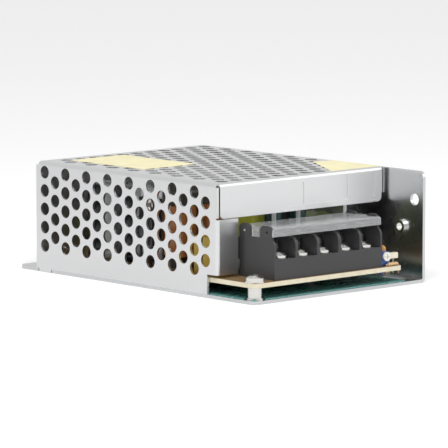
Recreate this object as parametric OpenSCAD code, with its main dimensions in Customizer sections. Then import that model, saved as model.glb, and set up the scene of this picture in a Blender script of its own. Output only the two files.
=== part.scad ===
// Enclosed switching power supply: a bent base plate, a folded perforated
// cover, and the circuit board with a covered terminal block between them.
// Origin at the centre of the base plate's underside. X runs across the
// terminals, Y runs back from them and Z is up. All lengths in millimetres.

/* [Case] */
// Width of the case over both side walls
case_w = 78; // [78:1:100]
// Height from the mounting face to the top of the cover
case_h = 38; // [38:0.5:50]
// Length of the cover, front to back
cover_l = 92; // [92:1:120]
// Length of the base plate in front of the cover
front_reach = 18; // [17.6:0.2:26]
// Length of the mounting ear behind the cover
ear_l = 10; // [9:0.5:16]
// Thickness of the base sheet
base_t = 1.2; // [1:0.1:1.6]
// Thickness of the cover sheet
cover_t = 0.8; // [0.6:0.1:1]
// Radius on the outside of the folds
fold_r = 1.3; // [1.1:0.1:2]
// Gap between sheets that fit together
sheet_gap = 0.2; // [0.1:0.05:0.4]

/* [Cover] */
// Height of the front flap
flap_h = 11.7; // [9:0.1:13]
// Width of the flange that returns behind the front edge of the side wall
return_w = 9.4; // [6:0.1:9.6]
// Depth of the flange inside the right wall
side_flange_h = 9; // [7:0.5:12]
// Length of the notch at the foot of the side wall
notch_l = 4.8; // [3:0.1:7]
// Depth of the stamped fields on the front flap
stamp_depth = 0.2; // [0.1:0.05:0.3]

/* [Perforation] */
// Diameter of a perforation
hole_d = 4.35; // [3:0.05:4.6]
// Distance between the centres of neighbouring perforations
pitch = 6.3; // [6:0.1:8]
// Distance from the cover's top down to the first row of holes
row_drop = 3.6; // [3.6:0.1:5]
// Solid band at the foot of the side wall
foot_band = 5; // [4:0.1:8]
// Distance from the cover's front edge to the first column of holes
col_margin = 5.6; // [5:0.1:8]

/* [Base] */
// Radius inside the fold between the base plate and its wall
base_fold_r = 0.6; // [0.4:0.1:1.2]
// Radius of the corners of the base plate and its wall
corner_r = 2.2; // [1:0.1:4]
// Diameter of the holes in the ear
ear_hole_d = 4; // [3:0.1:5]
// Diameter of the hole in the right wall
wall_hole_d = 4; // [3:0.1:5]
// Width of the mounting slot
slot_w = 4.5; // [3.5:0.1:5.5]
// Length of the mounting slot
slot_l = 10; // [7:0.5:11]
// Outside diameter of the clinch nut
nut_d = 4.6; // [4.2:0.1:6]

/* [Circuit board] */
// Thickness of the board
pcb_t = 1.6; // [1:0.1:2]
// Distance from the base plate up to the board
standoff_h = 4; // [3.5:0.1:5]
// Outside diameter of a standoff
standoff_d = 4.7; // [4.4:0.1:5.2]
// Free strip between the board's right edge and the right wall
pcb_side_gap = 8.8; // [8.4:0.1:9.6]
// Thickness of the insulating film
film_t = 0.25; // [0.1:0.05:0.4]

/* [Terminal block] */
// Number of terminals
ways = 5; // [2:1:5]
// Distance from terminal to terminal
way_pitch = 9.7; // [9.5:0.05:9.8]
// Thickness of a partition
partition_t = 1.2; // [0.8:0.1:1.4]
// Thickness of the walls at the ends
end_wall = 0.8; // [0.7:0.1:1.2]
// Depth of the block
block_d = 17; // [16.8:0.1:17.4]
// Height of the partitions
partition_h = 13.6; // [13.4:0.1:14]
// Height of the ears at the ends
block_ear_h = 17.6; // [17.5:0.1:18]
// Height of the front wall
front_wall_h = 6.8; // [6.2:0.1:7]
// Thickness of the lid
lid_t = 1.1; // [0.8:0.1:1.2]
// How far a terminal screw backs out
screw_lift = 3; // [2:0.5:3]

/* [Hidden] */
$fn = 48;
eps = 0.01;

// Planes of the case
x_l = -case_w / 2;
x_r = case_w / 2;
y_front = -(front_reach + cover_l + ear_l) / 2;
y_cf = y_front + front_reach;
y_cb = y_cf + cover_l;
y_ear = y_cb + ear_l;
wall_in = x_r - base_t;
cover_xr = wall_in - sheet_gap;
wall_top = case_h - 0.4;
inner_fold = fold_r - cover_t;
board_gap = 1;

// Perforation: rows are a pitch apart, columns close up to keep it even
col_step = pitch * sin(60);
cols = floor((cover_l - col_margin - hole_d / 2 - fold_r - 1) / col_step) + 1;
rows = floor((case_h - row_drop - base_t - foot_band - hole_d / 2 + 0.7) / pitch) + 1;
top_front = 4.1;
top_side = 5.8;
top_rows = floor((cover_l - top_front - fold_r - hole_d / 2 - 1) / col_step) + 1;
top_cols = floor((cover_xr - x_l - 2 * top_side) / pitch) + 1;

// Circuit board
pcb_z = base_t + standoff_h;
pcb_top = pcb_z + pcb_t;
pcb_x0 = x_l + cover_t + 0.3;
pcb_x1 = wall_in - pcb_side_gap;
pcb_y0 = y_front + 0.9;
pcb_y1 = y_cb - 3;
mount_inset = [3.2, 3.6];
m3_r = 1.5;
tap_r = 1.25;
screw_spots = [[pcb_x0 + mount_inset[0], pcb_y0 + mount_inset[1]],
               [pcb_x1 - mount_inset[0], pcb_y0 + 42],
               [pcb_x0 + mount_inset[0], pcb_y1 - mount_inset[1]],
               [pcb_x1 - mount_inset[0], pcb_y1 - mount_inset[1]]];

// Terminal block: x of its left end, y of its front, and its levels
block_x = pcb_x0 + 9.7;
block_w = ways * way_pitch - partition_t + 2 * end_wall;
block_y = pcb_y0 + 1.1;
block_back = block_y + block_d;
ear_w = 5.5;
lip_y = block_y + 0.6;
lip_t = 0.7;
ear_front = lip_y + lip_t + 0.2;
ear_back = block_back - ear_w;
partition_top = pcb_top + partition_h;
ear_top = pcb_top + block_ear_h;
screw_y = block_y + 3.8;
plate_z = pcb_top + 4.9;
plate_t = 0.8;
tab_y = screw_y + 3.6;
tab_top = plate_z + 6.3;
washer_t = 0.7;
washer_z = plate_z + plate_t;
head_z = washer_z + washer_t;
head_h = 2.4;
lid_z = ear_top - 0.6 - lid_t;
hinge_y = block_back - 2.4;
hinge_z = ear_top - 2.2;
pivot_r = 0.5;
well_z = pcb_top + 1;
function way_x(k) = block_x + block_w / 2 + (k - (ways + 1) / 2) * way_pitch;

// Places of the parts on the board, from its front left corner or from the edge they keep to
function spot(dx, dy) = [pcb_x0 + dx, pcb_y0 + dy];
x_cap = [6, 13, 12.2];
x_cap_at = spot(6.9, 27.8);
fuse_at = spot(15.9, 24.1);
thermistor_at = spot(20.9, 32.1);
transformer_at = spot(35.8, 36.5);
choke_at = spot(13.9, 45.1);
sink_t = 1.5;
sink_at = [spot(4.5, 55.6), spot(63.4, 28.6)];
bulk_d = 14;
bulk_h = 25;
bulk_at = [spot(10, 69.5), spot(10, 84.2)];
bridge_at = [pcb_x0 + 36.9, pcb_y1 - 10.2];
film_at = [pcb_x0 + 24.4, pcb_y1 - 7];
toroid_at = spot(53.5, 27.6);
front_cap_d = 5.8;
front_cap_at = [spot(28, 21.6), spot(39, 21.6)];
out_cap_at = spot(47.5, 56);
safety_at = spot(38, 62);
chip_at = spot(53, 72);
opto_at = spot(40, 72);
trim_w = 3.8;
trim_at = [block_x + block_w + 0.3 + trim_w / 2, pcb_y0 + 1.9];
led_at = [trim_at[0] + 2.8, pcb_y0 + 6.4];
ceramic_at = [trim_at[0] + 4.6, pcb_y0 + 2.7];

// Leads: a wire radius, and for each part the offsets of its wires
wire_r = 0.35;
pad_r = 0.5;
pin_end = 1.2;
module leads(offsets, top, r = wire_r)
    for (p = offsets) translate([p[0], p[1], 0]) {
        translate([0, 0, pcb_z - pin_end]) cylinder(r = r, h = top - pcb_z + pin_end, $fn = 16);
        solder();
    }
// What fills the hole round a lead and joins it to the board
module solder() translate([0, 0, pcb_z - 0.4]) cylinder(r = pad_r, h = pcb_t + 0.4, $fn = 16);
function moved(at, offsets) = [for (p = offsets) at + p];
pair_x = [[-2.5, 0], [2.5, 0]];
front_cap_pins = [[-1.25, 0], [1.25, 0]];
x_cap_pins = [[0, -5], [0, 5]];
fuse_pins = [[0, -4.5], [0, 4.5]];
thermistor_pins = [[-2.5, 0], [2.5, 0]];
transformer_pins = [for (sx = [-1, 0, 1], sy = [-1, 1]) [sx * 5, sy * 8]];
device_pins = [for (k = [-1:1]) [2.45, k * 2.54]];
bulk_pins = [[0, -3.75], [0, 3.75]];
bridge_pins = [for (k = [-1.5:1.5]) [k * 3.8, -2.6]];
film_pins = [[0, -3], [0, 3]];
choke_pins = [for (sx = [-1, 1], sy = [-1, 1]) [sx * 5, sy * 4]];
toroid_pins = [[-4.5, 0], [4.5, 0]];
chip_pins = [for (sx = [-1, 1], k = [0:3]) [sx * 3.81, (k - 1.5) * 2.54]];
opto_pins = [for (sx = [-1, 1], k = [0:1]) [sx * 3.81, (k - 0.5) * 2.54]];
resistor_at = [spot(30, 63), spot(26, 69), spot(53, 83), spot(46, 90)];
resistor_pins = [[0, -3.8], [0, 3.8]];
front_resistor_at = [trim_at[0] + 2.5, pcb_y0 + 1];
front_resistor_pins = [[-2.8, 0], [2.8, 0]];
trim_pins = [for (k = [-1:1]) [k * 1.3, 1.2]];
led_pins = [[-1.27, 0], [1.27, 0]];
ceramic_pins = [[-1.2, 0.9], [0.7, 0.9]];
function all_pins() = concat(
    moved(x_cap_at, x_cap_pins), moved(fuse_at, fuse_pins),
    moved(thermistor_at, thermistor_pins), moved(transformer_at, transformer_pins),
    moved(sink_at[0], -device_pins), moved(sink_at[1], device_pins),
    moved(bulk_at[0], bulk_pins), moved(bulk_at[1], bulk_pins),
    moved(bridge_at, bridge_pins), moved(film_at, film_pins),
    moved(choke_at, choke_pins), moved(toroid_at, toroid_pins),
    moved(front_cap_at[0], front_cap_pins), moved(front_cap_at[1], front_cap_pins),
    moved(out_cap_at, pair_x), moved(safety_at, pair_x),
    moved(chip_at, chip_pins), moved(opto_at, opto_pins),
    [for (r = resistor_at, p = resistor_pins) r + p],
    moved(front_resistor_at, front_resistor_pins), moved(ceramic_at, ceramic_pins),
    moved(trim_at, trim_pins), moved(led_at, led_pins));

// Extrudes a shape drawn in X and Z from y0 to y1
module along_y(y0, y1) translate([0, y1, 0]) rotate([90, 0, 0]) linear_extrude(y1 - y0) children();
// Extrudes a shape drawn in Y and Z from x0 to x1
module along_x(x0, x1) translate([x0, 0, 0]) rotate([90, 0, 90]) linear_extrude(x1 - x0) children();
// Extrudes a shape drawn in X and Y from z0 to z1
module along_z(z0, z1) translate([0, 0, z0]) linear_extrude(z1 - z0) children();
// A rectangle given by its edges
module area(a0, a1, b0, b1) translate([a0, b0]) square([a1 - a0, b1 - b0]);
// A box given by its six faces
module block(x0, x1, y0, y1, z0, z1) translate([x0, y0, z0]) cube([x1 - x0, y1 - y0, z1 - z0]);
// What a round corner takes off: corner at (a, b), the shape lying towards (sa, sb)
module corner_off(a, b, sa, sb, r)
    difference() {
        translate([a - (sa > 0 ? 1 : r), b - (sb > 0 ? 1 : r)]) square(r + 1);
        translate([a + sa * r, b + sb * r]) circle(r);
    }
// A quarter of a folded sheet's section, centred at (a, b) and facing (sa, sb),
// that reaches a hair into the flat sheet at both ends
module fold(a, b, sa, sb, r_in, t)
    translate([a, b]) mirror([sa > 0 ? 0 : 1, 0]) mirror([0, sb > 0 ? 0 : 1]) {
        intersection() {
            difference() { circle(r_in + t); circle(r_in); }
            square(r_in + t);
        }
        area(-eps, 0, r_in, r_in + t);
        area(r_in, r_in + t, -eps, 0);
    }

// ---- case ----

// Bottom, right wall and the fold between them, all one bent sheet
module base_chassis() color("gainsboro")
    difference() {
        union() {
            along_z(0, base_t) difference() {
                area(x_l, x_r - base_fold_r - base_t, y_front, y_ear);
                corner_off(x_l, y_front, 1, 1, corner_r);
                corner_off(x_l, y_ear, 1, -1, corner_r + 1);
                area(x_l - 1, x_l + cover_t + 0.1, y_cb - 8, y_cb - 1);
            }
            along_z(0, base_t) difference() {
                area(x_r - base_fold_r - base_t, x_r, y_cb + 1, y_ear);
                corner_off(x_r, y_ear, -1, -1, corner_r + 1);
            }
            along_y(y_front, y_cb)
                fold(x_r - base_fold_r - base_t, base_fold_r + base_t, 1, -1, base_fold_r, base_t);
            along_x(wall_in, x_r) difference() {
                area(y_front, y_cb, base_fold_r + base_t, wall_top);
                corner_off(y_front, wall_top, 1, -1, corner_r);
                corner_off(y_cb, wall_top, -1, -1, corner_r);
            }
        }
        for (p = screw_spots) translate([p[0], p[1], -1]) cylinder(d = standoff_d - 1, h = base_t + 2);
        for (sx = [-1, 1]) translate([sx * ear_hole_x, y_cb + ear_l / 2, -1])
            cylinder(d = ear_hole_d, h = base_t + 2);
        slot_shape(-1, base_t + 1);
        translate([wall_in - 1, wall_hole_y, wall_hole_z]) rotate([0, 90, 0])
            cylinder(d = wall_hole_d, h = base_t + 2);
        translate([wall_in - 1, nut_y, nut_z]) rotate([0, 90, 0])
            cylinder(d = nut_d - 0.8, h = base_t + 2);
        for (y = cover_screw_y) translate([wall_in - 1, y, cover_screw_z]) rotate([0, 90, 0])
            cylinder(r = m3_r + 0.1, h = base_t + 2);
    }
ear_hole_x = 28;
slot_x = wall_in - base_fold_r - 1 - slot_w / 2;
slot_y = y_cf - 8;
wall_hole_y = y_front + 4;
wall_hole_z = 27.9;
nut_y = y_front + 10;
nut_z = 18.3;
nut_proud = 1.2;
cover_screw_y = [y_cf + 14, y_cb - 14];
cover_screw_z = case_h - 5.5;

// An obround slot, long way front to back
module slot_shape(z0, z1)
    along_z(z0, z1) union() {
        area(slot_x - slot_w / 2, slot_x + slot_w / 2,
             slot_y - (slot_l - slot_w) / 2, slot_y + (slot_l - slot_w) / 2);
        for (s = [-1, 1]) translate([slot_x, slot_y + s * (slot_l - slot_w) / 2]) circle(d = slot_w);
    }

// Threaded nut pressed into the right wall, its collar on the inside
module clinch_nut() color("silver")
    translate([wall_in, nut_y, nut_z]) rotate([0, 90, 0]) difference() {
        union() {
            translate([0, 0, -nut_proud]) cylinder(d = nut_d, h = nut_proud);
            cylinder(d = nut_d - 0.8, h = base_t);
        }
        translate([0, 0, -nut_proud - 1]) cylinder(r = tap_r, h = nut_proud + base_t + 2);
    }

// Staggered columns of round holes in a wall: every second column starts half
// a pitch lower and has one hole less
module wall_holes(a0, count, top, n_rows)
    for (j = [0:count - 1]) let (low = j % 2 == 0)
        for (i = [0:n_rows - (low ? 2 : 1)])
            translate([a0 + j * col_step, top - (i + (low ? 0.5 : 0)) * pitch])
                circle(d = hole_d, $fn = 24);

// The folded perforated sheet: top, left wall, back, front flap and the
// flange that the screws hold inside the right wall
module cover() color("whitesmoke")
    difference() {
        union() {
            cover_top();
            cover_side();
            cover_back();
            cover_flap();
            cover_side_flange();
        }
        stamped_fields();
    }
flap_x0 = x_l + fold_r + 0.1;
flap_x1 = cover_xr - fold_r - 0.3;
back_x1 = cover_xr - fold_r - 0.3;

module cover_top()
    along_z(case_h - cover_t, case_h) difference() {
        area(x_l + fold_r, cover_xr - fold_r, y_cf + fold_r, y_cb - fold_r);
        for (k = [0:top_rows - 1], i = [0:top_cols - 1])
            translate([x_l + top_side + (i + (k % 2) / 2) * pitch, y_cf + top_front + k * col_step])
                circle(d = hole_d, $fn = 24);
    }

module cover_side() union() {
    along_y(y_cf + fold_r, y_cb - fold_r)
        fold(x_l + fold_r, case_h - fold_r, -1, 1, inner_fold, cover_t);
    along_x(x_l, x_l + cover_t) difference() {
        area(y_cf + fold_r, y_cb, base_t, case_h - fold_r);
        area(y_cf, y_cf + notch_l, 0, pcb_top + board_gap);
        wall_holes(y_cf + col_margin, cols, case_h - row_drop, rows);
    }
    // strip beside the flap, then the fold into the return flange below it
    along_x(x_l, x_l + cover_t)
        area(y_cf, y_cf + fold_r, case_h - flap_h + 0.3, case_h - fold_r);
    along_z(pcb_top + board_gap, case_h - flap_h - 0.3)
        fold(x_l + fold_r, y_cf + fold_r, -1, -1, inner_fold, cover_t);
    along_y(y_cf, y_cf + cover_t)
        area(x_l + fold_r, x_l + return_w, pcb_top + board_gap, case_h - flap_h - 0.3);
    // hook that drops into the base plate's notch
    block(x_l, x_l + cover_t, y_cb - 7.7, y_cb - 1.3, 0.1, base_t + eps);
}

module cover_back() union() {
    along_x(flap_x0, back_x1)
        fold(y_cb - fold_r, case_h - fold_r, 1, 1, inner_fold, cover_t);
    along_y(y_cb - cover_t, y_cb) area(flap_x0, back_x1, base_t + sheet_gap, case_h - fold_r);
}

module cover_flap() union() {
    along_x(flap_x0, flap_x1)
        fold(y_cf + fold_r, case_h - fold_r, -1, 1, inner_fold, cover_t);
    along_y(y_cf, y_cf + cover_t) difference() {
        area(flap_x0, flap_x1, case_h - flap_h, case_h - fold_r);
        for (s = [0, 1]) corner_off(s ? flap_x1 : flap_x0, case_h - flap_h, s ? -1 : 1, 1, 1.6);
    }
}

module cover_side_flange() union() {
    along_y(y_cf + fold_r, y_cb - fold_r)
        fold(cover_xr - fold_r, case_h - fold_r, 1, 1, inner_fold, cover_t);
    along_x(cover_xr - cover_t, cover_xr) difference() {
        area(y_cf + fold_r, y_cb - fold_r, case_h - side_flange_h, case_h - fold_r);
        for (y = cover_screw_y) translate([y, cover_screw_z]) circle(r = tap_r);
    }
}

// Shallow stamped fields: distances of their sides from the flap's right end,
// and how far below the top they start
module stamped_fields()
    for (f = [[44, 36, 2.4], [35, 16, 1.6], [15, 3, 2]]) let (z0 = case_h - flap_h + 1.8)
        along_y(y_cf - 1, y_cf + stamp_depth) difference() {
            area(flap_x1 - f[0], flap_x1 - f[1], z0, case_h - f[2]);
            for (s = [0, 1], u = [0, 1])
                corner_off(flap_x1 - f[s], u ? case_h - f[2] : z0, s ? -1 : 1, u ? -1 : 1, 0.8);
        }

// A pan head screw with a cross recess: its seat at the origin, thread down
module pan_screw(head_d, head_h, r, len)
    difference() {
        union() {
            intersection() {
                cylinder(d = head_d, h = head_h);
                translate([0, 0, head_h - head_d * 0.75]) sphere(d = head_d * 1.5);
            }
            translate([0, 0, -len]) cylinder(r = r, h = len + eps);
        }
        for (a = [0, 90]) rotate(a)
            translate([-head_d * 0.29, -head_d * 0.06, head_h - 1]) cube([head_d * 0.58, head_d * 0.12, 2]);
    }

module cover_screws() color("silver")
    for (y = cover_screw_y) translate([x_r, y, cover_screw_z]) rotate([0, 90, 0])
        pan_screw(5.4, 1.7, tap_r - 0.02, base_t + sheet_gap + cover_t + 1.4);

// Labels on the cover, bare
module large_label() color("khaki")
    along_z(case_h, case_h + label_t) area(x_l + 9.6, x_l + 33.5, y_cb - 44.8, y_cb - 7.3);
module small_label() color("khaki")
    along_z(case_h, case_h + label_t) polygon([
        [cover_xr - 24, y_cf + fold_r], [cover_xr - fold_r, y_cf + fold_r],
        [cover_xr - fold_r, y_cf + 23], [cover_xr - 9, y_cf + 26]]);
label_t = 0.12;

// ---- board and what holds it ----

module insulating_film() color("teal", 0.6)
    along_z(base_t, base_t + film_t) difference() {
        area(pcb_x0, slot_x - slot_w / 2 - 0.7, y_front + 1.5, y_cb - 2);
        for (p = screw_spots) translate(p) circle(d = standoff_d + 2.4);
    }

// Press-in standoffs, each with a foot through the base plate
module standoffs() color("silver")
    for (p = screw_spots) translate([p[0], p[1], 0]) difference() {
        union() {
            translate([0, 0, base_t]) cylinder(d = standoff_d, h = standoff_h);
            translate([0, 0, base_t]) cylinder(d = standoff_d + 1, h = 0.5);
            cylinder(d = standoff_d - 1, h = base_t + eps);
        }
        translate([0, 0, -1]) cylinder(r = tap_r, h = pcb_z + 2);
    }

module circuit_board() color("tan")
    along_z(pcb_z, pcb_top) difference() {
        area(pcb_x0, pcb_x1, pcb_y0, pcb_y1);
        for (s = [0, 1], u = [0, 1])
            corner_off(s ? pcb_x1 : pcb_x0, u ? pcb_y1 : pcb_y0, s ? -1 : 1, u ? -1 : 1, 1);
        for (p = screw_spots) translate(p) circle(r = m3_r + 0.1);
        for (p = all_pins()) translate(p) circle(r = pad_r, $fn = 16);
        for (k = [1:ways]) translate([way_x(k), tab_y + 0.4]) circle(r = 0.85, $fn = 16);
    }

module board_washers() color("silver")
    for (p = screw_spots) translate([p[0], p[1], pcb_top]) difference() {
        cylinder(d = washer_d, h = board_washer_t);
        translate([0, 0, -1]) cylinder(r = m3_r + 0.1, h = 3);
    }
washer_d = 6.8;
board_washer_t = 0.4;

module board_screws() color("silver")
    for (p = screw_spots) translate([p[0], p[1], pcb_top + board_washer_t])
        rotate(20) pan_screw(6.1, 2.2, tap_r - 0.02, board_washer_t + pcb_t + 4);

// ---- terminal block ----

// Side view of the body without its cells, in Y and Z
module block_side()
    difference() {
        area(block_y, block_back, pcb_top, partition_top);
        corner_off(block_y, partition_top, 1, -1, 3);
    }

module terminal_housing() color("dimgray")
    difference() {
        union() {
            // partitions and end walls
            for (k = [0:ways]) let (
                x = block_x + block_w / 2 + (k - ways / 2) * way_pitch,
                a = k == 0 ? block_x : x - partition_t / 2,
                b = k == ways ? block_x + block_w : x + partition_t / 2)
                along_x(a, b) block_side();
            // floor, front wall, and the deck behind the contacts
            block(block_x, block_x + block_w, block_y, block_back, pcb_top, plate_z);
            block(block_x, block_x + block_w, block_y, block_y + 0.8, pcb_top, pcb_top + front_wall_h);
            block(block_x, block_x + block_w, tab_y + 1, block_back, pcb_top, tab_top + 0.8);
            // ears at both ends, for the lid
            for (x = [block_x, block_x + block_w - end_wall])
                along_x(x, x + end_wall)
                    for (y = [ear_front, ear_back]) difference() {
                        area(y, y + ear_w, partition_top - 4, ear_top);
                        for (s = [0, 1]) corner_off(y + s * ear_w, ear_top, s ? -1 : 1, -1, 1.6);
                    }
        }
        // wells for the screws, pin slots and the lid's pivots
        for (k = [1:ways]) {
            translate([way_x(k), screw_y, well_z]) cylinder(r = m3_r + 0.3, h = 10);
            block(way_x(k) - 0.9, way_x(k) + 0.9, tab_y - 0.05, tab_y + plate_t + 0.05, 0, tab_top);
        }
        for (y = [hinge_y, ear_front + 2.3])
            translate([block_x - 1, y, hinge_z]) rotate([0, 90, 0])
                cylinder(r = pivot_r + 0.05, h = block_w + 2, $fn = 24);
    }

// One bent strip per terminal: a tapped plate, an upright tab and a pin
module terminal_contacts() color("silver")
    for (k = [1:ways]) translate([way_x(k), 0, 0]) difference() {
        union() {
            block(-3.6, 3.6, block_y + 1, tab_y + plate_t, plate_z, plate_z + plate_t);
            along_y(tab_y, tab_y + plate_t) difference() {
                area(-3.6, 3.6, plate_z, tab_top);
                for (s = [-1, 1]) corner_off(s * 3.6, tab_top, -s, -1, 1.5);
            }
            block(-0.7, 0.7, tab_y, tab_y + plate_t, pcb_z - 1.2, plate_z + eps);
        }
        translate([0, screw_y, 0]) cylinder(r = m3_r, h = 3 * plate_z);
    }

// Square washer with two turned-up sides, captive under the screw's head
module clamp_washer(k) color("silver")
    translate([way_x(k), screw_y, washer_z]) difference() {
        union() {
            block(-3.1, 3.1, -2.8, 2.9, 0, washer_t);
            for (s = [-1, 1]) block(s > 0 ? 2.95 : -3.55, s > 0 ? 3.55 : -2.95, -2.8, 2.9, 0, 0.95);
        }
        translate([0, 0, -1]) cylinder(r = m3_r + 0.05, h = 3);
    }

module terminal_screw(k) color("silver")
    translate([way_x(k), screw_y, head_z])
        rotate(15 * k) pan_screw(5.6, head_h, m3_r - 0.05, head_z - well_z - 0.3);

// Clear flip-up cover: a flat top with a full-width lip in front of the ears,
// a tab in the gap between the ears of each end wall, and a pivot pin behind it
module terminal_lid() color("lightgray", 0.5)
    union() {
        difference() {
            union() {
                block(lid_x0, lid_x1, lip_y, block_back - 0.8, lid_z, lid_z + lid_t);
                block(block_x, block_x + block_w, lip_y, lip_y + lip_t, lid_z - 1.7, lid_z + lid_t);
            }
            along_y(lip_y - 1, lip_y + lip_t)
                for (s = [0, 1]) corner_off(block_x + s * block_w, lid_z + lid_t, s ? -1 : 1, -1, 0.9);
            along_y(lip_y + lip_t, block_back)
                for (s = [0, 1]) corner_off(s ? lid_x1 : lid_x0, lid_z + lid_t, s ? -1 : 1, -1, 0.9);
            along_x(block_x - 1, block_x + block_w + 1) corner_off(lip_y, lid_z + lid_t, 1, -1, 0.6);
        }
        for (s = [0, 1]) {
            // side rib that carries the pin, and the tab in the gap
            block(s ? lid_x1 - 1 : lid_x0, s ? lid_x1 : lid_x0 + 1, hinge_y - 6.5, hinge_y + 1,
                  hinge_z - 0.9, lid_z + eps);
            block(s ? lid_x1 - 1 : block_x + 0.05, s ? block_x + block_w - 0.05 : lid_x0 + 1,
                  ear_front + ear_w + 0.5, ear_back - 0.5, lid_z - 2.2, lid_z + lid_t);
            translate([s ? lid_x1 - eps : block_x + 0.1, hinge_y, hinge_z]) rotate([0, 90, 0])
                cylinder(r = pivot_r, h = lid_gap + end_wall - 0.1 + eps, $fn = 24);
        }
    }
lid_gap = 0.2;
lid_x0 = block_x + end_wall + lid_gap;
lid_x1 = block_x + block_w - end_wall - lid_gap;

// ---- parts on the board ----

// Trimmer on edge: a blue body, with the rotor facing forwards
trim_z = 3.3;
trim_r = 1.5;
trim_shaft_r = 0.8;
module trimmer_body() color("royalblue")
    translate([trim_at[0], trim_at[1], pcb_top]) {
        difference() {
            union() {
                block(-trim_w / 2, trim_w / 2, 0, 2.2, 0.4, 0.4 + trim_w + 0.6);
                translate([0, 0, trim_z]) rotate([90, 0, 0]) cylinder(r = trim_r, h = 0.3);
            }
            translate([0, 3, trim_z]) rotate([90, 0, 0]) cylinder(r = trim_shaft_r + 0.05, h = 6);
        }
        translate([0, 0, -pcb_top]) leads(trim_pins, pcb_top + 0.6, 0.25);
    }

module trimmer_rotor() color("ivory")
    translate([trim_at[0], trim_at[1], pcb_top + trim_z]) rotate([90, 0, 0]) difference() {
        union() {
            translate([0, 0, 0.35]) cylinder(r = trim_r, h = 0.8);
            translate([0, 0, -2]) cylinder(r = trim_shaft_r, h = 2.8);
        }
        for (a = [0, 90]) rotate(a) translate([-1, -0.2, 0.75]) cube([2, 0.4, 2]);
    }

// Indicator: a round lamp with a flange and a domed top
module indicator_led() color("orange")
    translate([led_at[0], led_at[1], 0]) {
        leads(led_pins, pcb_top + 1.1, 0.25);
        translate([0, 0, pcb_top + 1]) {
            cylinder(d = 3.8, h = 1);
            cylinder(d = 3, h = 4);
            translate([0, 0, 4]) sphere(d = 3, $fn = 32);
        }
    }

// A moulded box on its wires, with its upright edges rounded
module boxed(size, r = 0.6)
    along_z(0, size[2]) difference() {
        area(-size[0] / 2, size[0] / 2, -size[1] / 2, size[1] / 2);
        for (s = [-1, 1], u = [-1, 1])
            corner_off(s * size[0] / 2, u * size[1] / 2, -s, -u, r);
    }

module mains_capacitor() color("gold")
    translate([x_cap_at[0], x_cap_at[1], 0]) {
        leads(x_cap_pins, pcb_top + 0.3, 0.4);
        translate([0, 0, pcb_top]) boxed(x_cap);
    }

module input_fuse() color("lightblue")
    translate([fuse_at[0], fuse_at[1], 0]) {
        leads(fuse_pins, pcb_top + 2.2);
        translate([0, 0, pcb_top + 2.2]) rotate([90, 0, 0]) cylinder(d = 4, h = 10.4, center = true);
    }

module surge_thermistor() color("darkgreen")
    translate([thermistor_at[0], thermistor_at[1], 0]) {
        leads(thermistor_pins, pcb_top + 4, 0.4);
        translate([0, 1.9, pcb_top + 6.2]) rotate([90, 0, 0]) cylinder(d = 9, h = 3.8);
    }

// An upright can: a sleeve with a crimped neck and a pressed lid
module can(d, h)
    rotate_extrude() difference() {
        area(0, d / 2, 0, h);
        translate([d / 2 + 0.5, 2.4]) circle(1, $fn = 24);
        area(0, d / 2 - 1.3, h - 0.3, h + 1);
        corner_off(d / 2, h, -1, -1, 0.8);
        corner_off(d / 2, 0, -1, 1, 0.5);
    }

module capacitor(at, d, h, pins, r)
    translate([at[0], at[1], 0]) {
        leads(pins, pcb_top + 0.3, r);
        translate([0, 0, pcb_top]) can(d, h);
    }
module bulk_capacitor_1() color("black") capacitor(bulk_at[0], bulk_d, bulk_h, bulk_pins, 0.4);
module bulk_capacitor_2() color("black") capacitor(bulk_at[1], bulk_d, bulk_h, bulk_pins, 0.4);
module front_cap(i) color("darkslategray")
    capacitor(front_cap_at[i], front_cap_d, 20, front_cap_pins, 0.25);
module output_capacitor_1() front_cap(0);
module output_capacitor_2() front_cap(1);
module output_capacitor_3() color("darkslategray") capacitor(out_cap_at, 10, 20, pair_x, 0.3);

// Common mode choke: a rectangular ferrite frame on edge, wound on both sides
choke_h = 25;
choke_limb = [4, 4.8];
choke_x = 6.2;
module line_choke_core() color("dimgray")
    translate([choke_at[0], choke_at[1], pcb_top]) along_y(-choke_limb[1] / 2, choke_limb[1] / 2)
        difference() {
            area(-choke_x - 2, choke_x + 2, 0, choke_h);
            area(-choke_x + 2, choke_x - 2, 4, choke_h - 4);
        }
module line_choke_windings() color("peru")
    translate([choke_at[0], choke_at[1], 0]) {
        leads(choke_pins, pcb_top + 4.3, 0.4);
        for (s = [-1, 1]) translate([s * choke_x, 0, pcb_top + 4.2]) difference() {
            boxed([choke_limb[0] + 3.8, choke_limb[1] + 4.8, choke_h - 8.4], 1.8);
            block(-choke_limb[0] / 2, choke_limb[0] / 2, -choke_limb[1] / 2, choke_limb[1] / 2,
                  -1, choke_h);
        }
    }

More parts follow.
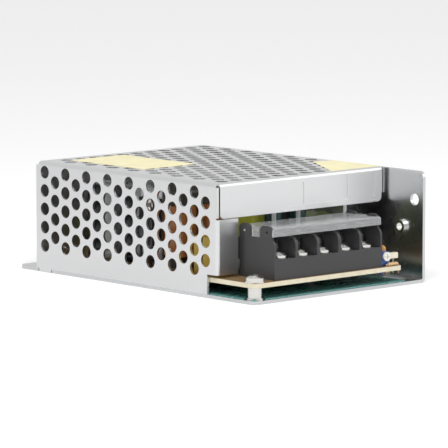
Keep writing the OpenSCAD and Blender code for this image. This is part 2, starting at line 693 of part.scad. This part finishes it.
// Transformer: an E core on edge round its winding, on a low bobbin with pins
core_w = 22;
core_d = 9;
core_h = 24;
core_limb = 3.4;
coil_d = 18;
bobbin_t = 1.4;
module transformer_core() color("dimgray")
    translate([transformer_at[0], transformer_at[1], pcb_top + bobbin_t])
        along_x(-core_d / 2, core_d / 2) difference() {
            area(-core_w / 2, core_w / 2, 0, core_h);
            for (s = [-1, 1])
                translate([s * core_w / 4, core_h / 2])
                    square([core_w / 2 - 2 * core_limb, core_h - 2 * core_limb], center = true);
        }
module transformer_bobbin() color("black")
    translate([transformer_at[0], transformer_at[1], 0]) {
        leads(transformer_pins, pcb_top + 0.2, 0.4);
        block(-coil_d / 2, coil_d / 2, 1 - core_w / 2, core_w / 2 - 1, pcb_top, pcb_top + bobbin_t);
    }
module transformer_tape() color("yellowgreen")
    translate([transformer_at[0], transformer_at[1], 0])
        along_z(pcb_top + bobbin_t + core_limb + 0.1, pcb_top + bobbin_t + core_h - core_limb - 0.1)
            difference() {
                area(-coil_d / 2, coil_d / 2, core_limb - core_w / 2 + 0.1, core_w / 2 - core_limb - 0.1);
                for (s = [-1, 1], u = [-1, 1])
                    corner_off(s * coil_d / 2, u * (core_w / 2 - core_limb - 0.1), -s, -u, 2);
                area(-core_d / 2, core_d / 2, -core_limb, core_limb);
            }

// A flat power package on three legs, its back against a heatsink at x = 0:
// the first one faces the left wall and the second one the right wall
device_z = pcb_top + 7.4;
device_hole_z = device_z + 12.8;
device_tab_t = 1.3;
module at_sink(i) translate([sink_at[i][0], sink_at[i][1], 0]) mirror([1 - i, 0, 0]) children();
module power_device() {
    difference() {
        block(0, device_tab_t, -5, 5, device_z, device_z + 15.4);
        translate([-1, 0, device_hole_z]) rotate([0, 90, 0]) cylinder(r = m3_r + 0.3, h = 4);
    }
    block(device_tab_t, 4.4, -5, 5, device_z, device_z + 9);
    for (p = device_pins)
        block(p[0] - 0.25, p[0] + 0.25, p[1] - 0.4, p[1] + 0.4, pcb_top + 0.6, device_z + eps);
    leads(device_pins, pcb_top + 1);
}
module switching_transistor() color("black") at_sink(0) power_device();
module output_rectifier() color("black") at_sink(1) power_device();

// A heatsink plate on edge that stands on the board on two feet
module sink_plate(y0, y1, top)
    along_x(-sink_t, 0) difference() {
        area(y0, y1, pcb_top, top);
        area(y0 + 3, y1 - 3, pcb_top - 1, pcb_top + 6);
        for (s = [0, 1]) corner_off(s ? y1 : y0, top, s ? -1 : 1, -1, 1.2);
        translate([0, device_hole_z]) circle(r = m3_r);
    }
module primary_heatsink() color("silver") at_sink(0) sink_plate(-5.3, 5.5, case_h - 5);
module output_heatsink() color("silver") at_sink(1) sink_plate(-5.5, 9, case_h - 4);
module device_screws() color("silver")
    for (i = [0, 1]) at_sink(i) translate([device_tab_t, 0, device_hole_z]) rotate([0, 90, 0])
        pan_screw(5.4, 1.7, m3_r - 0.05, device_tab_t + sink_t + 0.8);

// Bridge rectifier in line, with a plate of its own
module bridge_heatsink() color("silver")
    translate([bridge_at[0], bridge_at[1], 0]) along_y(0, sink_t)
        area(-8, 7, pcb_top, pcb_top + 22);
module bridge_rectifier() color("black")
    translate([bridge_at[0], bridge_at[1], 0]) {
        leads(bridge_pins, pcb_top + 3.2, 0.4);
        along_y(-4.2, 0) difference() {
            area(-7.4, 7, pcb_top + 3, pcb_top + 14);
            translate([-7.4, pcb_top + 14]) rotate(45) square(3, center = true);
        }
    }

module film_capacitor() color("olive")
    translate([film_at[0], film_at[1], 0]) {
        leads(film_pins, pcb_top + 0.3);
        translate([0, 0, pcb_top]) boxed([5.5, 9.2, 9.5], 1.6);
    }

// Small cream block on its leads, beside the trimmer
module ceramic_capacitor() color("cornsilk")
    translate([ceramic_at[0], ceramic_at[1], 0]) {
        leads(ceramic_pins, pcb_top + 2.3, 0.25);
        translate([0, 0.5, pcb_top + 2.2]) boxed([4.2, 1.8, 1.8], 0.4);
    }

// Output inductor: a ring core on edge with a single layer of wire
ring_r = 5.4;
ring_half = [2, 2.6];
wire_t = 0.8;
ring_z = pcb_top + ring_r + ring_half[0] + wire_t + 0.4;
module output_inductor_core() color("olive")
    translate([toroid_at[0], toroid_at[1], ring_z]) rotate([90, 0, 0]) rotate_extrude()
        area(ring_r - ring_half[0], ring_r + ring_half[0], -ring_half[1], ring_half[1]);
module output_inductor_winding() color("darkolivegreen")
    translate([toroid_at[0], toroid_at[1], 0]) {
        leads(toroid_pins, ring_z - 6.2, 0.4);
        translate([0, 0, ring_z]) rotate([90, 0, 0]) rotate_extrude() let (
            a = ring_half[0] + wire_t, b = ring_half[1] + wire_t) difference() {
            area(ring_r - a, ring_r + a, -b, b);
            area(ring_r - ring_half[0], ring_r + ring_half[0], -ring_half[1], ring_half[1]);
            for (s = [-1, 1], u = [-1, 1]) corner_off(ring_r + s * a, u * b, -s, -u, 0.7);
        }
    }

module safety_capacitor() color("royalblue")
    translate([safety_at[0], safety_at[1], 0]) {
        leads(pair_x, pcb_top + 3);
        translate([0, 1.6, pcb_top + 5.4]) rotate([90, 0, 0]) cylinder(d = 8, h = 3.2);
    }

// Chips in line, with legs bent down from both sides
module dual_in_line(at, pins, len)
    translate([at[0], at[1], 0]) {
        for (p = pins) {
            translate([p[0], p[1], 0]) solder();
            block(p[0] - 0.25, p[0] + 0.25, p[1] - 0.3, p[1] + 0.3, pcb_z - pin_end, pcb_top + 2.2);
        }
        for (p = pins) block(p[0] > 0 ? 3 : -4.06, p[0] > 0 ? 4.06 : -3, p[1] - 0.6, p[1] + 0.6,
                             pcb_top + 1.9, pcb_top + 2.2);
        block(-3.2, 3.2, -len / 2, len / 2, pcb_top + 0.5, pcb_top + 3.8);
    }
module control_chip() color("black") dual_in_line(chip_at, chip_pins, 9.6);
module optocoupler() color("black") dual_in_line(opto_at, opto_pins, 4.8);

module resistor(at, pins, r)
    translate([at[0], at[1], 0]) {
        leads(pins, pcb_top + r, r / 4);
        translate([pins[0][0], pins[0][1], pcb_top + r])
            rotate([0, 90, atan2(pins[1][1] - pins[0][1], pins[1][0] - pins[0][0])])
                let (l = norm(pins[1] - pins[0])) {
                    cylinder(r = r / 4, h = l, $fn = 16);
                    translate([0, 0, l / 2]) cylinder(r = r, h = l * 0.74, center = true);
                }
    }
module resistors() color("tan") {
    for (at = resistor_at) resistor(at, resistor_pins, 1.1);
    resistor(front_resistor_at, front_resistor_pins, 0.6);
}

base_chassis();
cover();
cover_screws();
insulating_film();
standoffs();
clinch_nut();
circuit_board();
board_screws();
board_washers();
terminal_housing();
terminal_contacts();
terminal_lid();
for (k = [1:ways]) {
    clamp_washer(k);
    terminal_screw(k);
}
trimmer_body();
trimmer_rotor();
indicator_led();
mains_capacitor();
input_fuse();
surge_thermistor();
bridge_rectifier();
bridge_heatsink();
bulk_capacitor_1();
bulk_capacitor_2();
line_choke_core();
line_choke_windings();
transformer_core();
transformer_bobbin();
transformer_tape();
switching_transistor();
primary_heatsink();
output_rectifier();
output_heatsink();
output_inductor_core();
output_inductor_winding();
output_capacitor_1();
output_capacitor_2();
output_capacitor_3();
safety_capacitor();
film_capacitor();
ceramic_capacitor();
control_chip();
optocoupler();
resistors();
device_screws();
large_label();
small_label();
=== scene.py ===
# Mesh case power supply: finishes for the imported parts, floor, light and camera.
# All lengths are in metres and all angles in radians, unless a name says otherwise.
import bpy
import numpy as np
from mathutils import Matrix, Vector


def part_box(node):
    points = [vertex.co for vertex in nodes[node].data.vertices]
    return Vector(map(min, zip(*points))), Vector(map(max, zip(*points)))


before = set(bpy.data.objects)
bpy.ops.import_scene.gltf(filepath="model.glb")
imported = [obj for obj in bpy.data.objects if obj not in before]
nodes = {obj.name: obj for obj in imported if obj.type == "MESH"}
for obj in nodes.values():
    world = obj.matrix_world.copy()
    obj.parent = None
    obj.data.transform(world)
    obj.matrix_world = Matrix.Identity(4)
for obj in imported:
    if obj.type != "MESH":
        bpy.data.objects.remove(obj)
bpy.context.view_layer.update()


class Tree:
    # One material's node tree, with short calls for the nodes used here
    def __init__(self, name):
        self.mat = bpy.data.materials.new(name)
        self.mat.use_nodes = True
        self.all = self.mat.node_tree.nodes
        self.join = self.mat.node_tree.links.new
        self.surface = self.all["Principled BSDF"]
        self.coord = self.all.new("ShaderNodeTexCoord")

    def set(self, **values):
        for key, value in values.items():
            self.surface.inputs[key.replace("_", " ")].default_value = value

    def place(self, scale=(1, 1, 1), shift=(0, 0, 0), turn=(0, 0, 0)):
        node = self.all.new("ShaderNodeMapping")
        node.inputs["Scale"].default_value = scale
        node.inputs["Location"].default_value = shift
        node.inputs["Rotation"].default_value = turn
        self.join(self.coord.outputs["Object"], node.inputs["Vector"])
        return node.outputs["Vector"]

    def noise(self, scale, detail=4.0, rough=0.5, where=None):
        node = self.all.new("ShaderNodeTexNoise")
        node.inputs["Scale"].default_value = scale
        node.inputs["Detail"].default_value = detail
        node.inputs["Roughness"].default_value = rough
        self.join(where or self.coord.outputs["Object"], node.inputs["Vector"])
        return node.outputs["Fac"]

    def spread(self, value, low, high, fromLow=0.3, fromHigh=0.7):
        node = self.all.new("ShaderNodeMapRange")
        node.inputs["From Min"].default_value = fromLow
        node.inputs["From Max"].default_value = fromHigh
        node.inputs["To Min"].default_value = low
        node.inputs["To Max"].default_value = high
        self.join(value, node.inputs["Value"])
        return node.outputs["Result"]

    def blendColours(self, value, first, second):
        node = self.all.new("ShaderNodeMix")
        node.data_type = "RGBA"
        self.join(value, node.inputs["Factor"])
        for socket, colour in (("A", first), ("B", second)):
            target = [s for s in node.inputs if s.name == socket and s.type == "RGBA"][0]
            if isinstance(colour, (tuple, list)):
                target.default_value = (*colour[:3], 1)
            else:
                self.join(colour, target)
        return [s for s in node.outputs if s.type == "RGBA"][0]

    def height(self, axis):
        node = self.all.new("ShaderNodeSeparateXYZ")
        self.join(self.coord.outputs["Object"], node.inputs["Vector"])
        return node.outputs[axis]

    def math(self, kind, first, second):
        node = self.all.new("ShaderNodeMath")
        node.operation = kind
        for socket, value in zip(node.inputs, (first, second)):
            if isinstance(value, (int, float)):
                socket.default_value = value
            else:
                self.join(value, socket)
        return node.outputs["Value"]

    def bump(self, value, strength, distance):
        node = self.all.new("ShaderNodeBump")
        node.inputs["Strength"].default_value = strength
        node.inputs["Distance"].default_value = distance
        self.join(value, node.inputs["Height"])
        self.join(node.outputs["Normal"], self.surface.inputs["Normal"])

    def colour(self, source):
        self.join(source, self.surface.inputs["Base Color"])

    def roughness(self, source):
        self.join(source, self.surface.inputs["Roughness"])


zinc = {"coverTone": (0.78, 0.785, 0.79), "coverShine": 0.30,
        "baseTone": (0.66, 0.67, 0.68), "baseShine": 0.26,
        "lineScale": 900, "lineStretch": 0.02, "lineStrength": 0.10, "lineDepth": 0.00003,
        "cloudScale": 55, "cloudDark": 0.95, "cloudShine": (0.85, 1.2)}


def zincSheet(name, tone, shine):
    # Cold rolled zinc sheet: faint rolling lines along Y and cloudy patches
    tree = Tree(name)
    tree.set(Metallic=1.0)
    lines = tree.noise(zinc["lineScale"], detail=3, rough=0.6,
                       where=tree.place(scale=(1, zinc["lineStretch"], 1)))
    cloud = tree.noise(zinc["cloudScale"], detail=5, rough=0.6)
    tree.colour(tree.blendColours(cloud, [c * zinc["cloudDark"] for c in tone], tone))
    tree.roughness(tree.spread(cloud, *[shine * k for k in zinc["cloudShine"]]))
    tree.bump(lines, zinc["lineStrength"], zinc["lineDepth"])
    return tree.mat


plating = {"patchScale": 900, "patchDark": 0.86, "patchShine": (0.7, 1.4)}


def platedMetal(name, tone, shine):
    # Plated screws, strips and plates: fine patches, no bump
    tree = Tree(name)
    tree.set(Metallic=1.0)
    patches = tree.noise(plating["patchScale"], detail=3)
    tree.colour(tree.blendColours(patches, [c * plating["patchDark"] for c in tone], tone))
    tree.roughness(tree.spread(patches, *[shine * k for k in plating["patchShine"]]))
    return tree.mat


plastic = {"ior": 1.5, "shadeScale": 160, "shade": (0.85, 1.15),
           "grain": 0.25, "grainScale": 5000, "grainDepth": 0.00002}


def moulded(name, tone, shine, grain=plastic["grain"]):
    # Moulded or dipped part, and the paper labels: fine grain, slight change of shade
    tree = Tree(name)
    tree.set(IOR=plastic["ior"])
    shade = tree.noise(plastic["shadeScale"], rough=0.6)
    darker, lighter = plastic["shade"]
    tree.colour(tree.blendColours(shade, [c * darker for c in tone], [min(1, c * lighter) for c in tone]))
    tree.roughness(tree.spread(shade, shine * darker, shine * lighter))
    tree.bump(tree.noise(plastic["grainScale"], detail=2), grain, plastic["grainDepth"])
    return tree.mat


clear = {"ior": 1.5, "waveScale": 220, "waveStretch": 0.35, "waveDark": 0.92,
         "waveShine": (0.6, 1.5), "waveStrength": 0.35, "waveDepth": 0.0002}


def clearPlastic(name, tone, shine, through):
    # Lid, film and lamp: soft waves, drawn out along X
    tree = Tree(name)
    tree.set(IOR=clear["ior"], Transmission_Weight=through)
    waves = tree.noise(clear["waveScale"], detail=3,
                       where=tree.place(scale=(clear["waveStretch"], 1, 1)))
    tree.colour(tree.blendColours(waves, [c * clear["waveDark"] for c in tone], tone))
    tree.roughness(tree.spread(waves, *[shine * k for k in clear["waveShine"]]))
    tree.bump(waves, clear["waveStrength"], clear["waveDepth"])
    return tree.mat


board = {"thickness": 0.0016, "faceDepth": 0.00004, "grainScale": 420,
         "grainStrength": 0.3, "grainDepth": 0.00004, "roughness": 0.45, "ior": 1.5,
         "edge": ((0.62, 0.55, 0.38), (0.83, 0.78, 0.62)),
         "top": ((0.20, 0.12, 0.055), (0.28, 0.18, 0.085)),
         "under": ((0.03, 0.12, 0.06), (0.05, 0.17, 0.08))}


def boardLaminate(name, low, high):
    # Resin board: brown top, pale sawn edge, green lacquer below
    tree = Tree(name)
    up = tree.height("Z")
    isTop = tree.math("GREATER_THAN", up, high - board["faceDepth"])
    isUnder = tree.math("LESS_THAN", up, low + board["faceDepth"])
    grain = tree.noise(board["grainScale"], detail=5, rough=0.65)
    edge, top, under = [tree.blendColours(grain, *board[side]) for side in ("edge", "top", "under")]
    tree.colour(tree.blendColours(isUnder, tree.blendColours(isTop, edge, top), under))
    tree.set(Roughness=board["roughness"], IOR=board["ior"])
    tree.bump(grain, board["grainStrength"], board["grainDepth"])
    return tree.mat


sleeve = {"bulkTone": (0.012, 0.012, 0.014), "outputTone": (0.008, 0.045, 0.045),
          "stripeTone": (0.55, 0.58, 0.56), "stripeTurn": 2.2, "stripeHalf": 0.26,
          "lidTone": (0.75, 0.76, 0.77), "lidDepth": 0.0007, "rim": 0.0012,
          "roughness": 0.28, "ior": 1.5, "creaseScale": 300, "creaseStrength": 0.15,
          "creaseDepth": 0.0001}


def canSleeve(name, tone, middle, width, top):
    # Heat-shrunk sleeve with a pale stripe down one side and a bare metal lid
    tree = Tree(name)
    split = tree.all.new("ShaderNodeSeparateXYZ")
    tree.join(tree.place(shift=(-middle[0], -middle[1], 0)), split.inputs["Vector"])
    turn = tree.math("ARCTAN2", split.outputs["Y"], split.outputs["X"])
    offStripe = tree.math("ABSOLUTE", tree.math("ADD", turn, sleeve["stripeTurn"]), 0.0)
    onStripe = tree.math("LESS_THAN", offStripe, sleeve["stripeHalf"])
    reach = tree.math("ADD", tree.math("MULTIPLY", split.outputs["X"], split.outputs["X"]),
                      tree.math("MULTIPLY", split.outputs["Y"], split.outputs["Y"]))
    onTop = tree.math("GREATER_THAN", tree.height("Z"), top - sleeve["lidDepth"])
    insideRim = tree.math("LESS_THAN", reach, (width / 2 - sleeve["rim"]) ** 2)
    lid = tree.math("MULTIPLY", onTop, insideRim)
    wrap = tree.blendColours(onStripe, tone, sleeve["stripeTone"])
    tree.colour(tree.blendColours(lid, wrap, sleeve["lidTone"]))
    tree.join(lid, tree.surface.inputs["Metallic"])
    tree.set(Roughness=sleeve["roughness"], IOR=sleeve["ior"])
    creases = tree.noise(sleeve["creaseScale"], detail=3)
    tree.bump(creases, sleeve["creaseStrength"], sleeve["creaseDepth"])
    return tree.mat


def dress(material, *names):
    for name in names:
        mesh = nodes[name].data
        mesh.materials.clear()
        mesh.materials.append(material)


coverZinc = zincSheet("coverZinc", zinc["coverTone"], zinc["coverShine"])
baseZinc = zincSheet("baseZinc", zinc["baseTone"], zinc["baseShine"])
nickel = platedMetal("nickel", (0.80, 0.79, 0.76), 0.22)
tinned = platedMetal("tinnedStrip", (0.82, 0.82, 0.80), 0.26)
rolledPlate = platedMetal("rolledPlate", (0.76, 0.77, 0.78), 0.38)
blockPlastic = moulded("blockPlastic", (0.038, 0.038, 0.040), 0.42)
packagePlastic = moulded("packagePlastic", (0.022, 0.022, 0.024), 0.5)
ferrite = moulded("ferrite", (0.07, 0.068, 0.066), 0.55, 0.5)
lidPlastic = clearPlastic("lidPlastic", (0.80, 0.81, 0.82), 0.16, 0.75)
filmPlastic = clearPlastic("filmPlastic", (0.22, 0.55, 0.52), 0.25, 0.35)
lampResin = clearPlastic("lampResin", (0.95, 0.48, 0.12), 0.12, 0.4)
paperLabel = moulded("paperLabel", (0.86, 0.80, 0.50), 0.6, 0.1)

dress(coverZinc, "cover")
dress(baseZinc, "base_chassis")
dress(nickel, "cover_screws", "standoffs", "clinch_nut", "board_washers", "board_screws",
      "device_screws", *[f"terminal_screw_{k}" for k in range(1, 6)])
dress(tinned, "terminal_contacts", *[f"clamp_washer_{k}" for k in range(1, 6)])
dress(rolledPlate, "primary_heatsink", "output_heatsink", "bridge_heatsink")
dress(blockPlastic, "terminal_housing", "transformer_bobbin")
dress(packagePlastic, "switching_transistor", "output_rectifier", "bridge_rectifier",
      "control_chip", "optocoupler")
dress(ferrite, "transformer_core", "line_choke_core")
dress(lidPlastic, "terminal_lid")
dress(filmPlastic, "insulating_film")
dress(lampResin, "indicator_led")
dress(paperLabel, "large_label", "small_label")
dress(moulded("trimmerBlue", (0.03, 0.11, 0.42), 0.3), "trimmer_body")
dress(moulded("rotorWhite", (0.82, 0.80, 0.74), 0.4), "trimmer_rotor")
dress(moulded("caseYellow", (0.72, 0.50, 0.08), 0.3), "mains_capacitor")
dress(moulded("fuseSleeve", (0.62, 0.64, 0.64), 0.3), "input_fuse")
dress(moulded("thermistorGreen", (0.05, 0.13, 0.07), 0.5), "surge_thermistor")
dress(moulded("tapeYellow", (0.50, 0.54, 0.06), 0.35, 0.1), "transformer_tape")
dress(moulded("copperEnamel", (0.42, 0.16, 0.05), 0.25), "line_choke_windings")
dress(moulded("coreOlive", (0.33, 0.34, 0.07), 0.45), "output_inductor_core")
dress(moulded("wireGreen", (0.14, 0.18, 0.05), 0.25), "output_inductor_winding")
dress(moulded("discBlue", (0.03, 0.14, 0.42), 0.3), "safety_capacitor")
dress(moulded("filmGreen", (0.16, 0.20, 0.04), 0.3), "film_capacitor")
dress(moulded("ceramicCream", (0.80, 0.76, 0.62), 0.45), "ceramic_capacitor")
dress(moulded("resistorTan", (0.62, 0.42, 0.22), 0.45), "resistors")

# The terminal block stands on the board, so its foot is the board's top
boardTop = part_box("terminal_housing")[0].z
dress(boardLaminate("boardLaminate", boardTop - board["thickness"], boardTop), "circuit_board")

for name in ("bulk_capacitor_1", "bulk_capacitor_2",
             "output_capacitor_1", "output_capacitor_2", "output_capacitor_3"):
    tone = sleeve["bulkTone"] if name.startswith("bulk") else sleeve["outputTone"]
    low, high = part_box(name)
    middle = ((low.x + high.x) / 2, (low.y + high.y) / 2)
    dress(canSleeve("sleeve_" + name, tone, middle, high.x - low.x, high.z), name)
print("finishes done")

stage = {"floorWhite": 0.90, "floorHalf": 3.0, "floorLift": 0.16, "floorRoughness": 0.9,
         "floorIor": 1.2, "worldLight": 0.75, "aim": (0, 0, 0.02),
         "keyPlace": (-0.35, -0.30, 0.55), "keySize": 0.35, "keyPower": 2.2,
         "fillPlace": (0.45, -0.45, 0.35), "fillSize": 0.5, "fillPower": 0.8}

# The floor glows a little for the camera alone, as the photograph's ground is blown out
floorMesh = bpy.data.meshes.new("floor")
half = stage["floorHalf"]
corners = [(-half, -half, 0), (half, -half, 0), (half, half, 0), (-half, half, 0)]
floorMesh.from_pydata(corners, [], [(0, 1, 2, 3)])
floor = bpy.data.objects.new("floor", floorMesh)
bpy.context.scene.collection.objects.link(floor)
floorTree = Tree("paleFloor")
floorTree.set(Roughness=stage["floorRoughness"], IOR=stage["floorIor"])
floorTree.surface.inputs["Base Color"].default_value = (*[stage["floorWhite"]] * 3, 1)
path = floorTree.all.new("ShaderNodeLightPath")
lift = floorTree.math("MULTIPLY", path.outputs["Is Camera Ray"], stage["floorLift"])
floorTree.surface.inputs["Emission Color"].default_value = (1, 1, 1, 1)
floorTree.join(lift, floorTree.surface.inputs["Emission Strength"])
floorMesh.materials.append(floorTree.mat)

# The world lights the part with worldLight and shows as full white, also through clear parts
world = bpy.data.worlds.new("studio")
bpy.context.scene.world = world
world.use_nodes = True
worldNodes = world.node_tree.nodes
worldJoin = world.node_tree.links.new
back = worldNodes["Background"]
back.inputs["Color"].default_value = (1, 1, 1, 1)
seen = worldNodes.new("ShaderNodeLightPath")
either = worldNodes.new("ShaderNodeMath")
either.operation = "MAXIMUM"
worldJoin(seen.outputs["Is Camera Ray"], either.inputs[0])
worldJoin(seen.outputs["Is Transmission Ray"], either.inputs[1])
level = worldNodes.new("ShaderNodeMapRange")
level.inputs["To Min"].default_value = stage["worldLight"]
level.inputs["To Max"].default_value = 1.0
worldJoin(either.outputs["Value"], level.inputs["Value"])
worldJoin(level.outputs["Result"], back.inputs["Strength"])


def softLamp(name, place, size, power):
    lamp = bpy.data.lights.new(name, "AREA")
    lamp.shape = "SQUARE"
    lamp.size = size
    lamp.energy = power
    lampObject = bpy.data.objects.new(name, lamp)
    lampObject.location = place
    towards = Vector(np.array(stage["aim"]) - np.array(place))
    lampObject.rotation_euler = towards.to_track_quat("-Z", "Y").to_euler()
    bpy.context.scene.collection.objects.link(lampObject)


softLamp("key", stage["keyPlace"], stage["keySize"], stage["keyPower"])
softLamp("fill", stage["fillPlace"], stage["fillSize"], stage["fillPower"])

# The anchor lies at distance in front of the camera, offset from the middle of the view
view = {"azimuthDegrees": 42.33, "elevationDegrees": 7.33, "distance": 1.30914,
        "lensMillimetres": 322.5, "sensorMillimetres": 36, "clipEnd": 20,
        "anchor": (-0.039, -0.0364, 0.0344), "offset": (-0.006052, 0.009954)}
azimuth, elevation = np.radians([view["azimuthDegrees"], view["elevationDegrees"]])
backward = np.array([-np.sin(azimuth) * np.cos(elevation), -np.cos(azimuth) * np.cos(elevation),
                     np.sin(elevation)])
rightward = np.array([np.cos(azimuth), -np.sin(azimuth), 0.0])
upward = np.cross(backward, rightward)
spot = (np.array(view["anchor"]) - view["offset"][0] * rightward - view["offset"][1] * upward
        + view["distance"] * backward)
camera = bpy.data.cameras.new("camera")
camera.lens = view["lensMillimetres"]
camera.sensor_width = view["sensorMillimetres"]
camera.clip_end = view["clipEnd"]
cameraObject = bpy.data.objects.new("camera", camera)
turned = np.eye(4)
turned[:3] = np.column_stack([rightward, upward, backward, spot])
cameraObject.matrix_world = Matrix(turned.tolist())
bpy.context.scene.collection.objects.link(cameraObject)
bpy.context.scene.camera = cameraObject
bpy.context.scene.view_settings.view_transform = "Standard"
print("floor, light and camera done")
